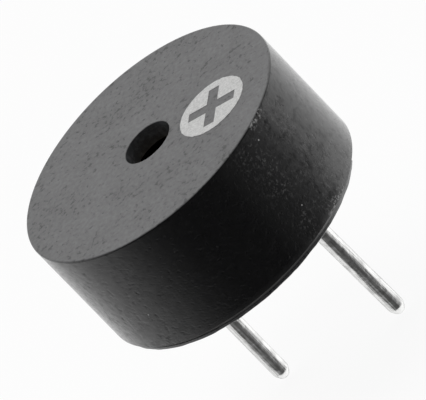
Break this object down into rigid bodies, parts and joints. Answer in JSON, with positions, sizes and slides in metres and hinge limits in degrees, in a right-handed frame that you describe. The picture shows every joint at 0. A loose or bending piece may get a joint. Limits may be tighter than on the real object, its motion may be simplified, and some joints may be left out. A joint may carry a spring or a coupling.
{
  "type": "piezo buzzer",
  "caption": "Round black board-mounted piezo buzzer with a central sound port, a white plus mark, a foot ring with vents and straight tinned pins.",
  "frame": {"origin": "centre of the buzzer in the plane of the foot ring, which stands on the circuit board", "axes": "+Z out of the sound port, away from the board; +X from the centre to the positive pin"},
  "size_m": [0.016, 0.016, 0.0163],
  "materials": {
    "case_plastic": "fine spark-eroded moulded finish, satin",
    "base_plastic": "moulded, satin",
    "tinned_pin": "bright tin plate over copper-clad steel",
    "solder": "bright solder",
    "brass_disc": "rolled sheet",
    "ceramic": "fired lead zirconate titanate, satin",
    "silver_film": "screened and fired silver",
    "silicone": "cured silicone",
    "board_laminate": "glass-epoxy laminate with green solder mask",
    "transistor_plastic": "moulded epoxy",
    "tinned_lead": "tin plate",
    "chip_ceramic": "glazed alumina with tinned ends",
    "lead_wire": "enamelled copper wire",
    "mark_ink": "pad-printed white ink"
  },
  "bodies": {
    "root": {"base_plate": "base_plastic", "bias_resistor": "chip_ceramic", "case": "case_plastic", "circuit_board": "board_laminate", "diaphragm": "brass_disc", "diaphragm_seal": "silicone", "feedback_board_solder": "solder", "feedback_disc_solder": "solder", "feedback_electrode": "silver_film", "feedback_resistor": "chip_ceramic", "feedback_wire": "lead_wire", "ground_board_solder": "solder", "ground_disc_solder": "solder", "ground_wire": "lead_wire", "load_resistor": "chip_ceramic", "main_board_solder": "solder", "main_disc_solder": "solder", "main_electrode": "silver_film", "main_wire": "lead_wire", "negative_pin": "tinned_pin", "negative_pin_solder": "solder", "piezo_ceramic": "ceramic", "positive_pin": "tinned_pin", "positive_pin_solder": "solder", "transistor_base_lead": "tinned_lead", "transistor_body": "transistor_plastic", "transistor_collector_lead": "tinned_lead", "transistor_emitter_lead": "tinned_lead"}
  },
  "joints": []
}
